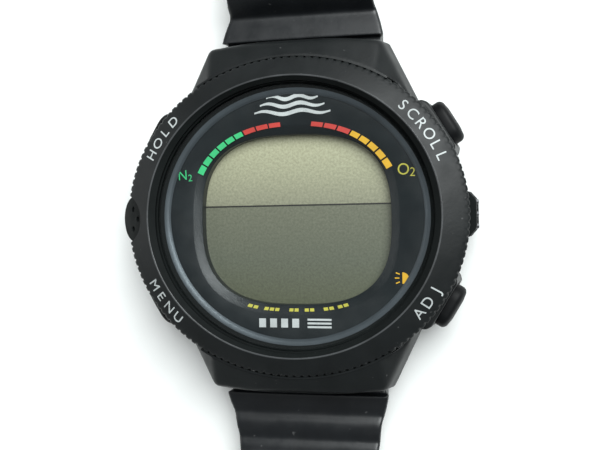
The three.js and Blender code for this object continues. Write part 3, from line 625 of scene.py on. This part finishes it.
def build_dial():
    """The dial plate, with a bevel that slopes down to the window's wall."""
    a, b, y, power, bottom, rebate = (WINDOW[key] for key in ("a", "b", "y", "power", "bottom", "rebate"))
    top, bevel = DIAL["top"], BEVEL["power"]
    rings = [
        ((DIAL["a"], DIAL["b"], 2.0, 0.0), DIAL["bottom"]),
        ((DIAL["a"], DIAL["b"], 2.0, 0.0), top),
        ((BEVEL["top_a"] + 0.15, BEVEL["top_b"] + 0.15, bevel, y), top),
        ((BEVEL["top_a"], BEVEL["top_b"], bevel, y), top - 0.05),
        ((BEVEL["a"], BEVEL["b"], power, y), top - BEVEL["drop"]),
        ((a, b, power, y), top - BEVEL["drop"] - 0.08),
        ((a, b, power, y), bottom),
        ((a + rebate, b + rebate, power, y), bottom),
        ((a + rebate, b + rebate, power, y), DIAL["bottom"]),
    ]
    steps = 256
    verts = []
    for oval, z in rings:
        verts += [(*super_point(2 * math.pi * i / steps, *oval), z) for i in range(steps)]
    faces = []
    for j in range(len(rings)):
        k = (j + 1) % len(rings)
        for i in range(steps):
            n = (i + 1) % steps
            faces.append((j * steps + i, j * steps + n, k * steps + n, k * steps + i))
    dial = new_object("dial", verts, faces, sharp=25)
    finish_piece(dial, "dial", "head", "dial_plate", "dial_mask")


def build_lcd():
    """The display's glass under the window, and the thin line across it."""
    a, b, power, bottom, top, chamfer = (LCD[key] for key in ("a", "b", "power", "bottom", "top", "chamfer"))
    steps = 128
    angles = [2 * math.pi * i / steps for i in range(steps)]
    rings = []
    for inset, z in ((chamfer, bottom), (0, bottom + chamfer), (0, top - chamfer), (chamfer, top)):
        rings.append([(*super_point(angle, a - inset, b - inset, power), z) for angle in angles])
    finish_piece(lofted("lcd_glass_panel", rings), "lcd_glass_panel", "head", "lcd_glass", "lcd_panel")
    half, slant, thick = 13.4, 0.04, 0.2
    divider = bar(-half, LCD["split"] - slant, half, LCD["split"] + slant, thick)
    line = prism("lcd_divider", [divider], top, top + 0.03)
    finish_piece(line, "lcd_divider", "head", "lcd_glass", look=LCD_LINE)


# ---------------------------------------------------------------- printing
PRINT = (DIAL["top"], DIAL["top"] + 0.04)
SCALE = {"inner": (14.08, 12.62), "outer": (15.03, 13.22), "power": 2.33, "gap": 0.9}
DASHES = {"wide": 2.6, "inner": 0.35, "outer": 0.72, "power": 2.75, "rise": 0.37,
          "at": (-120, -116.6, -110, -106.6, -103.2, -94, -90.6, -84, -80.6, -72, -68.6, -63.5, -60.1)}
LETTER = {"cap": 0.7, "squeeze": 0.95, "offset": -0.002, "extrude": 0.02, "thick": 0.05}
LABEL = {"height": 1.5, "down": 0.52, "lift": 0.03, "foot": 0.3, "foot_rise": 0.38}


def arc_block(start, end, steps=5):
    """One block of a curved scale, between two angles in degrees."""
    angles = [math.radians(start + (end - start) * k / steps) for k in range(steps + 1)]
    return ([super_point(t, *SCALE["inner"], SCALE["power"]) for t in angles]
            + [super_point(t, *SCALE["outer"], SCALE["power"]) for t in reversed(angles)])


def blocks(start, end, count):
    """A row of blocks with gaps between them, which starts and ends with half a gap."""
    step = (end - start) / count
    side = math.copysign(SCALE["gap"] / 2, step)
    return [arc_block(start + i * step + side, start + (i + 1) * step - side) for i in range(count)]


def wave(x0, x1, y, amplitude, thick):
    """A wavy stroke with tapering ends."""
    steps = 28
    rows = []
    for k in range(steps + 1):
        t = k / steps
        half = 0.5 * thick * math.sin(math.pi * min(max(t, 0.04), 0.96)) ** 0.4
        rows.append((x0 + (x1 - x0) * t, y + amplitude * math.sin(4 * math.pi * t), half))
    return [(x, v - half) for x, v, half in rows] + [(x, v + half) for x, v, half in reversed(rows)]


def bar(x0, y0, x1, y1, thick):
    """A straight stroke between two points."""
    direction = Vector((x1 - x0, y1 - y0)).normalized() * thick / 2
    nx, ny = -direction.y, direction.x
    return [(x0 + nx, y0 + ny), (x0 - nx, y0 - ny), (x1 - nx, y1 - ny), (x1 + nx, y1 + ny)]


def glyph(letter, height):
    """A flat letter in millimetres, with its middle at the origin."""
    curve = bpy.data.curves.new("glyph", "FONT")
    curve.body = letter
    curve.size = 1.0
    curve.extrude = LETTER["extrude"]
    curve.offset = LETTER["offset"]
    text = linked("glyph", curve)
    bpy.context.view_layer.update()
    graph = bpy.context.evaluated_depsgraph_get()
    mesh = bpy.data.meshes.new_from_object(text.evaluated_get(graph), depsgraph=graph)
    bpy.data.objects.remove(text)
    xs = [v.co.x for v in mesh.vertices]
    middle = Vector(((min(xs) + max(xs)) / 2, LETTER["cap"] / 2, 0))
    scale = height / LETTER["cap"]
    sizes = (scale * LETTER["squeeze"], scale, LETTER["thick"] / (2 * LETTER["extrude"]), 1)
    mesh.transform(Matrix.Diagonal(sizes) @ Matrix.Translation(-middle))
    return mesh


def lettering(name, word, matrices, height, look, slot="dial_plate"):
    """A word as one piece of the head, each letter placed by its own matrix in millimetres."""
    shape = bmesh.new()
    for letter, matrix in zip(word, matrices):
        mesh = glyph(letter, height)
        mesh.transform(Matrix.Scale(MM, 4) @ matrix)
        shape.from_mesh(mesh)
    mesh = bpy.data.meshes.new(name)
    shape.to_mesh(mesh)
    shape.free()
    finish_piece(linked(name, mesh), name, "head", slot, look=look)


def bezel_label(name, word, start, end, inward):
    """A word along the bezel's slope, between two of the oval's angles. Its letters' tops point in or out."""
    foot, down = LABEL["foot"], LABEL["down"]
    across, along_y = BEZEL["a"] - foot - LIP[0], BEZEL["b"] - foot - LIP[1]
    drop = LIP[2] - BEZEL["rim"] - LABEL["foot_rise"]
    a, b, z = LIP[0] + down * across, LIP[1] + down * along_y, LIP[2] - down * drop
    matrices = []
    for i in range(len(word)):
        t = math.radians(start + (end - start) * (i + 0.5) / len(word))
        tangent = Vector((-a * math.sin(t), b * math.cos(t), 0)).normalized()
        slope = Vector((across * math.cos(t), along_y * math.sin(t), -drop))
        normal = slope.cross(tangent).normalized()
        reading = tangent if inward else -tangent
        turn = Matrix((reading, normal.cross(reading), normal)).transposed().to_4x4()
        spot = Vector((a * math.cos(t), b * math.sin(t), z)) + normal * LABEL["lift"]
        matrices.append(Matrix.Translation(spot) @ turn)
    lettering(name, word, matrices, LABEL["height"], PRINT_WHITE, slot="case_polymer")


def flat(x, y, turn):
    """A letter's place on the dial, turned by an angle in degrees."""
    return Matrix.Translation((x, y, PRINT[0] + 0.02)) @ Matrix.Rotation(math.radians(turn), 4, "Z")


def bevel_dashes():
    """A row of short dashes on the lower part of the window's bevel."""
    wide, inner, outer = DASHES["wide"], DASHES["inner"], DASHES["outer"]
    box = ((0, 1, 2, 3), (4, 5, 6, 7), (0, 1, 5, 4), (1, 2, 6, 5), (2, 3, 7, 6), (3, 0, 4, 7))
    verts, faces = [], []
    for start in DASHES["at"]:
        base = len(verts)
        for lift in (0.0, 0.04):
            for turn, t in ((0, inner), (0, outer), (wide, outer), (wide, inner)):
                angle = math.radians(start + turn)
                x, y = super_point(angle, BEVEL["a"] + t, BEVEL["b"] + 1.1 * t, DASHES["power"])
                verts.append((x, y, DIAL["top"] - BEVEL["drop"] + DASHES["rise"] * t + lift))
        faces += [tuple(base + k for k in face) for face in box]
    return new_object("dashes", verts, faces)


def half_disc(x, y, wide, tall, steps=12):
    """The right half of an oval, with its flat side at x."""
    angles = [math.pi * k / steps for k in range(steps + 1)]
    return [(x + wide * math.sin(t), y + tall * math.cos(t)) for t in angles]


def build_prints():
    """The dial's scales and signs, and the words on the bezel."""
    marks = {
        "nitrogen_bar_green": (blocks(154.4, 120.4, 6), PRINT_GREEN),
        "nitrogen_bar_red": (blocks(120.4, 97.0, 3), PRINT_RED),
        "oxygen_bar_red": (blocks(78.9, 55.4, 3), PRINT_RED),
        "oxygen_bar_amber": (blocks(55.4, 26.6, 5), PRINT_AMBER),
        "dial_wave_mark": (
            [wave(-half, half, y, 0.24, 0.55) for half, y in ((3.6, 16.1), (4.5, 15.1), (5.3, 14.1))],
            PRINT_SILVER,
        ),
        "dial_level_mark": (
            [bar(x, -14.95, x, -13.75, 0.95) for x in (-4.6, -3.05, -1.5, 0.05)]
            + [bar(1.7, y, 5.0, y, 0.26) for y in (-13.85, -14.35, -14.85)],
            PRINT_SILVER,
        ),
        "lamp_mark": (
            [half_disc(14.6, -8.25, 0.85, 0.75), bar(13.75, -7.55, 14.25, -7.75, 0.16),
             bar(13.6, -8.25, 14.2, -8.25, 0.16), bar(13.75, -8.95, 14.25, -8.75, 0.16)],
            PRINT_AMBER,
        ),
    }
    for name, (outlines, look) in marks.items():
        finish_piece(prism(name, outlines, *PRINT), name, "head", "dial_plate", look=look)
    finish_piece(bevel_dashes(), "dial_tick_row", "head", "dial_plate", look=PRINT_YELLOW)
    lettering("nitrogen_sign", "N", [flat(-15.85, 6.0, 3)], 1.35, PRINT_GREEN)
    lettering("nitrogen_digit", "2", [flat(-14.75, 5.6, 3)], 0.95, PRINT_GREEN)
    lettering("oxygen_sign", "O", [flat(14.95, 6.05, -3)], 1.5, PRINT_YELLOW)
    lettering("oxygen_digit", "2", [flat(16.15, 5.65, -3)], 1.15, PRINT_YELLOW)
    bezel_label("label_upper_left", "HOLD", 156.5, 136.0, inward=False)
    bezel_label("label_upper_right", "SCROLL", 47.5, 19.5, inward=False)
    bezel_label("label_lower_left", "MENU", 204.5, 225.0, inward=True)
    bezel_label("label_lower_right", "ADJ", 318.5, 333.5, inward=True)


# ---------------------------------------------------------------- case and its fittings
def build_sensor_cap():
    """The sensor's low dome with its three water ports."""
    plug, r = SENSOR["plug"], SENSOR["cap"]
    profile = [
        (0, 0, -1.35),
        (plug, plug, -1.35),
        (plug, plug, 0.02),
        (r, r, 0.02),
        (r - 0.1, r - 0.1, 0.16, 0.2),
        (1.6, 1.6, 0.3, 0.8),
        (0, 0, 0.33),
    ]
    dome = swept("dome", rounded(profile, 0.05, closed=False), 96, closed=False)
    ports = []
    for degrees in (90, 0, -90):
        port = rod("port", PORTS["r"], -1, 1, 24)
        turn = Matrix.Rotation(math.radians(degrees), 4, "Z")
        ports.append(place(port, turn @ Matrix.Translation((PORTS["from_middle"], 0, 0))))
    carved(dome, *ports)
    place(dome, sensor_frame())
    smooth(dome)
    finish_piece(dome, "sensor_cap", "head", "case_polymer", "sensor_guard", look=DULL_BLACK)


def rolled(case):
    """Rounds the long side edges of the hoods, and leaves the seat of the bezel crisp."""
    a, b = BEZEL["a"] + HOOD_ROLL["margin"], BEZEL["b"] + HOOD_ROLL["margin"]
    hood = case.vertex_groups.new(name="hood")
    for vertex in case.data.vertices:
        x, y, z = vertex.co / MM
        beyond = math.hypot(x / a, y / b) - 1 - HOOD_ROLL["start"]
        above = z - HOOD_ROLL["z"]
        if abs(y) > HOOD_ROLL["y"] and above > 0 and beyond > 0:
            weight = min(1.0, beyond / HOOD_ROLL["blend"]) * min(1.0, above / HOOD_ROLL["fade"])
            hood.add([vertex.index], weight, "REPLACE")
    relax = case.modifiers.new("relax", "SMOOTH")
    relax.factor = 0.5
    relax.iterations = HOOD_ROLL["rounds"]
    relax.vertex_group = "hood"
    return applied(case)


def build_skins(rows):
    """Moulded copies of CAD nodes, each from its node, name, body, voxel in millimetres, rounds and slot."""
    for node, name, body, voxel, rounds, slot in rows:
        finish_piece(moulded_copy(node, voxel, rounds), name, body, slot, node)


def build_case():
    """The shell, the sensor's cap, the contacts' block, the back and what fastens it."""
    case = rolled(moulded_copy("case_body", 0.2, 4))
    finish_piece(case, "case_shell", "head", "case_polymer", "case_body")
    build_sensor_cap()
    block = moulded_copy("contact_block", 0.08, 4)
    finish_piece(block, "contact_housing", "head", "case_polymer", "contact_block", look=DULL_BLACK)
    build_skins([
        ("case_back", "back_plate", "head", 0.14, 3, "case_polymer"),
        ("battery_hatch", "hatch_cover", "hatch", 0.14, 3, "case_polymer"),
        *((f"case_back_screw_{i}", f"back_screw_{i}", "head", 0.05, 2, "steel") for i in range(1, 5)),
    ])


def build_button(place_name, degrees):
    """A domed cap with a soft shoulder, on its stem."""
    back, face = BUTTON["back"], BUTTON["face"]
    shoulder, dome = CAP_EDGE["inset"], CAP_EDGE["dome"]
    rings = [(0.15, back), (0.0, back + 0.15), (0.0, face - shoulder)]
    for bend in range(15, 90, 15):
        t = math.radians(bend)
        rings.append((shoulder * (1 - math.cos(t)), face - dome - (shoulder - dome) * (1 - math.sin(t))))
    rings += [(1.1, face - 0.09), (1.4, face - 0.03), (1.75, face)]
    outlines = []
    for inset, x in rings:
        outline = stadium(BUTTON["long"] - 2 * inset, BUTTON["tall"] - 2 * inset)
        outlines.append([(x, u, v) for u, v in outline])
    cap = lofted("cap", outlines, sharp=60)
    stem = rod("stem", BUTTON["stem"], BUTTON["stem_end"], back + 0.3, 24)
    place(stem, Matrix.Rotation(math.pi / 2, 4, "Y"))
    button = joined("button", cap, stem)
    place(button, Matrix.Rotation(math.radians(degrees), 4, "Z") @ Matrix.Translation((0, 0, BUTTON["z"])))
    smooth(button, 60)
    node = f"button_{place_name}"
    finish_piece(button, f"button_cap_{place_name}", node, "button_black", node)


def build_spring(place_name, degrees):
    """The return spring behind a cap, built as a fixed coil on the head; the real one flattens as the button
    is pressed.
    """
    steps, sides = 96, 10
    rings = []
    for i in range(steps + 1):
        t = 2 * math.pi * COIL["turns"] * i / steps
        x = COIL["start"] + (COIL["end"] - COIL["start"]) * i / steps
        ring = []
        for k in range(sides):
            u = 2 * math.pi * k / sides
            r = COIL["r"] + COIL["wire"] * math.cos(u)
            ring.append((x + COIL["wire"] * math.sin(u), r * math.cos(t), r * math.sin(t)))
        rings.append(ring)
    coil = lofted("coil", rings)
    turn = Matrix.Rotation(math.radians(degrees), 4, "Z")
    place(coil, turn @ Matrix.Translation((0, 0, BUTTON["z"])))
    finish_piece(coil, f"button_coil_{place_name}", "head", "steel", f"button_spring_{place_name}")
    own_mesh(coil)


# ---------------------------------------------------------------- strap
# The height of each half's top, by its distance from the head's middle. Both start with the land at the hood.
LAND = [(STRAP_START, 6.25), (26.5, 5.86)]
UPPER_TOP = along([
    *LAND,
    # a valley, then a steep rise
    (28.1, 5.45), (28.4, 5.5), (28.8, 6.0), (29.6, 7.05), (30.4, 7.85), (31.4, 8.5), (32.4, 8.85),
    # the top of the arch, then a long slope to the buckle
    (34.2, 9.0), (38, 9.0), (41.5, 8.75), (46, 8.15), (60, 6.98), (70, 6.21), (83, 5.2),
])
LOWER_TOP = along([
    *LAND,
    # two low ribs, each after a valley
    (27.45, 5.55), (27.75, 5.5), (28.05, 5.59), (28.4, 5.75), (28.8, 5.86), (29.4, 5.88), (30.1, 5.77),
    (30.8, 5.56), (31.25, 5.42), (31.4, 5.42), (31.65, 5.52), (32.0, 5.67), (32.5, 5.78), (33.1, 5.8),
    # the rise of the arch, then a slope to the flat tail
    (33.7, 5.95), (34.5, 6.5), (36, 7.6), (38.5, 8.4), (41.5, 8.35),
    (46, 7.6), (50, 6.85), (61, 4.65), (71, 3.3), (80, 3.0), (LOWER_TIP["y"], 3.0),
])
# Half the strap's width, which flares towards the head
HALF = along([
    (STRAP_START, 11.75), (26.3, 11.4), (27.5, 11.05), (28.6, 10.72), (30.0, 10.5), (32.0, 10.25),
    (35.0, 9.9), (40, 9.65), (70, 9.6),
])
RIBS = {"start": 33.2, "end": 44.15, "pitch": 3.65, "depth": 0.42}


def share(y, start, length):
    """How far y lies along a stretch of the strap, from 0 to 1."""
    return min(1.0, max(0.0, (y - start) / length))


def strap_thickness(y):
    """The rubber is thickest at the head."""
    return STRAP["root"] - STRAP["thinner"] * share(y, STRAP_START, STRAP["taper"])


def ripple(y):
    """Cross ribs beside the head, which let the rubber bend: pillows with a sharp valley between them."""
    if not RIBS["start"] < y < RIBS["end"]:
        return 0.0
    across = ((y - RIBS["start"]) / RIBS["pitch"] + 0.5) % 1
    return -RIBS["depth"] * (2 * across - 1) ** 2


def strap_outline(y, half, low, high):
    """A section across the strap: crowned on top, with sides that lean in towards the wrist."""
    lean = min(STRAP["lean"], 0.25 * (high - low))
    soft = min(STRAP["soft"], 0.3 * (high - low))
    foot = half - lean
    corners = [(half, high, 0, soft), (foot, low, 0, 0.45), (-foot, low, 0, 0.45), (-half, high, 0, soft)]
    outline = [(p.x, p.y) for p in rounded(corners, steps=4)]
    outline += [(half * k / 6, high) for k in range(-5, 6)]
    middle, crown = (low + high) / 2, STRAP["crown"]
    return [(x, y, z + crown * (1 - (x / half) ** 2) if z > middle else z) for x, z in outline]


def strap_rings(places, top, half_at):
    """Sections of a strap half, with its ribs on top and shallower valleys below."""
    rings = []
    for y in places:
        low = top(y) - strap_thickness(y) - 0.5 * ripple(y)
        rings.append(strap_outline(y, half_at(y), low, top(y) + ripple(y)))
    return rings


def strap_root():
    """The barrel round the spring bar and the neck that joins it to the strap."""
    half, bore, r, low, high = (ROOT[key] for key in ("half", "bore", "r", "low", "high"))
    tube = swept("tube", [(bore, bore, -half), (r, r, -half), (r, r, half), (bore, bore, half)], 64)
    place(tube, Matrix.Translation((0, BAR["y"], BAR["z"])) @ Matrix.Rotation(math.pi / 2, 4, "Y"))
    neck = lofted("neck", [
        [(-half, y, low), (half, y, low), (half, y, high), (-half, y, high)]
        for y in (ROOT["start"], ROOT["end"])
    ])
    return tube, neck


def stations(start, end, step=0.3):
    """Even places along the strap, about a step apart."""
    count = round((end - start) / step)
    return [start + (end - start) * k / count for k in range(count + 1)]


def build_strap_upper():
    """The buckle half, which ends in a split loop round the buckle bar."""
    centre_y, centre_z, r, start = (UPPER_END[key] for key in ("y", "z", "r", "start"))

    def half(y):
        return HALF(y) - 0.3 * share(y, 70, 8)

    rings = strap_rings(stations(STRAP_START, start), UPPER_TOP, half)
    for y in stations(start + 0.3, centre_y + r - 0.05, 0.15):
        reach = math.sqrt(max(0.01, r * r - max(0.0, y - centre_y) ** 2))
        blend = share(y, start, UPPER_END["blend"])
        high = UPPER_TOP(y) * (1 - blend) + (centre_z + reach) * blend
        low = (UPPER_TOP(y) - strap_thickness(y)) * (1 - blend) + (centre_z - reach) * blend
        rings.append(strap_outline(y, UPPER_END["half"], low, high))
    band = lofted("band", rings)
    tunnel = rod("tunnel", BUCKLE_SLOT["tunnel"], -12, 12)
    place(tunnel, Matrix.Translation((0, centre_y, centre_z)) @ Matrix.Rotation(math.pi / 2, 4, "Y"))
    x, low, high = BUCKLE_SLOT["half"], -1, 9
    slot = lofted("slot", [
        [(-x, y, low), (x, y, low), (x, y, high), (-x, y, high)]
        for y in (BUCKLE_SLOT["start"], BUCKLE_SLOT["end"])
    ])
    carved(band, tunnel, slot)
    strap = moulded(joined("strap", band, *strap_root()), 0.2, 3)
    finish_piece(strap, "strap_band_upper", "strap_12", "strap_rubber", "strap_upper")


def build_strap_lower():
    """The tail half, with its row of tongue holes and a rounded tip."""
    tip = LOWER_TIP["length"]
    start, end = LOWER_TIP["y"] - tip, LOWER_TIP["y"] - 0.03

    def half(y):
        if y < start:
            return HALF(y) - 0.2 * share(y, 80, 40)
        return LOWER_TIP["half"] * math.sqrt(max(0.0, 1 - ((y - start) / tip) ** 2)) + LOWER_TIP["blunt"]

    places = stations(STRAP_START, start) + stations(start + 0.2, end, 0.2)
    rings = strap_rings(places, LOWER_TOP, half)
    lowest = 0.02
    band = lofted("band", [[(x, y, max(z, lowest)) for x, y, z in ring] for ring in rings])
    outline = stadium(HOLES["wide"], HOLES["long"], 8)
    tools = []
    for y in HOLES["y"]:
        tools.append(lofted("hole", [[(u, y + v, z) for u, v in outline] for z in (-2, 6)]))
    carved(band, *tools)
    strap = moulded(joined("strap", band, *strap_root()), 0.22, 3)
    place(strap, Matrix.Rotation(math.pi, 4, "Z"))
    finish_piece(strap, "strap_band_lower", "strap_6", "strap_rubber", "strap_lower")


def build_buckle():
    """The buckle with its tongue and bar, and the two keepers."""
    build_skins([
        ("buckle_frame", "buckle_loop", "buckle", 0.14, 5, "buckle_steel"),
        ("buckle_tongue", "buckle_prong", "tongue", 0.1, 5, "buckle_steel"),
        ("buckle_bar", "buckle_pin", "strap_12", 0.08, 2, "steel"),
        ("keeper_fixed", "keeper_loop_fixed", "strap_12", 0.17, 6, "strap_rubber"),
        ("keeper_sliding", "keeper_loop_sliding", "keeper", 0.17, 6, "strap_rubber"),
    ])


# ---------------------------------------------------------------- setting
CAMERA = {"turn": 15, "tilt": -0.1, "roll": -0.91, "distance": 133, "aim": 12, "lens": 59.49, "sensor": 36,
          "shift": (0.0124, -0.0138)}


def build_floor():
    """A wide sheet of pale paper, just under the part."""
    half, gap = 1500, 0.05
    corners = [(-half, -half, 0), (half, -half, 0), (half, half, 0), (-half, half, 0)]
    floor = new_object("floor", corners, [(0, 1, 2, 3)])
    floor.location.z = cad_box[0][2] - gap * MM
    paper = moulded_look("paper", (0.86, 0.87, 0.86), 0.8, mottle=0.01, grain=400, relief=0.02)
    floor.data.materials.append(paper)


def add_light(name, size, power, position, color=(1, 1, 1)):
    """A round soft light, aimed at the part. Its size and position are in metres."""
    light = bpy.data.lights.new(name, "AREA")
    light.shape = "DISK"
    light.size = size
    light.energy = power
    light.color = color
    obj = linked(name, light)
    obj.location = position
    obj.rotation_euler = (-Vector(position)).to_track_quat("-Z", "Y").to_euler()


def build_lights():
    """A key light from the upper right, a weak fill from the left, and a dim even surround."""
    world = bpy.data.worlds.new("studio")
    world.use_nodes = True
    surround = world.node_tree.nodes["Background"]
    surround.inputs["Color"].default_value = (0.95, 0.98, 1.0, 1)
    surround.inputs["Strength"].default_value = 0.2
    bpy.context.scene.world = world
    add_light("key", 0.85, 16.5, (0.35, 0.4, 0.8), color=(0.96, 1, 1))
    add_light("fill", 0.8, 2.0, (-0.9, 0.1, 0.45))


def build_camera():
    """A close camera, turned a little to the right of the face, as the photograph was taken."""
    turn, tilt, roll = (math.radians(CAMERA[key]) for key in ("turn", "tilt", "roll"))
    back = Vector((math.sin(turn) * math.cos(tilt), -math.sin(tilt), math.cos(turn) * math.cos(tilt)))
    right = Vector((0, 1, 0)).cross(back).normalized()
    up = back.cross(right)
    right, up = (right * math.cos(roll) + up * math.sin(roll), up * math.cos(roll) - right * math.sin(roll))
    camera = bpy.data.cameras.new("camera")
    camera.sensor_width = CAMERA["sensor"]
    camera.lens = CAMERA["lens"]
    camera.shift_x, camera.shift_y = CAMERA["shift"]
    camera.clip_start = 0.01
    obj = linked("camera", camera)
    turned = Matrix((right, up, back)).transposed().to_4x4()
    eye = Vector((0, 0, CAMERA["aim"])) + back * CAMERA["distance"]
    obj.matrix_world = Matrix.Translation(eye * MM) @ turned
    bpy.context.scene.camera = obj


build_camera()
for node, obj in NODES.items():
    obj.data.materials.clear()
    obj.data.materials.append(PIN_METAL if node.startswith("contact_pin") else LOOKS[SLOT_OF[node]])
build_bezel()
build_throat()
build_hood_seams()
build_crystal()
build_seal_and_flange()
build_dial()
build_lcd()
build_prints()
build_case()
for where, angle in BUTTONS.items():
    build_button(where, angle)
    build_spring(where, angle)
build_strap_upper()
build_strap_lower()
build_buckle()
build_floor()
build_lights()
bpy.context.scene.view_settings.view_transform = "Standard"
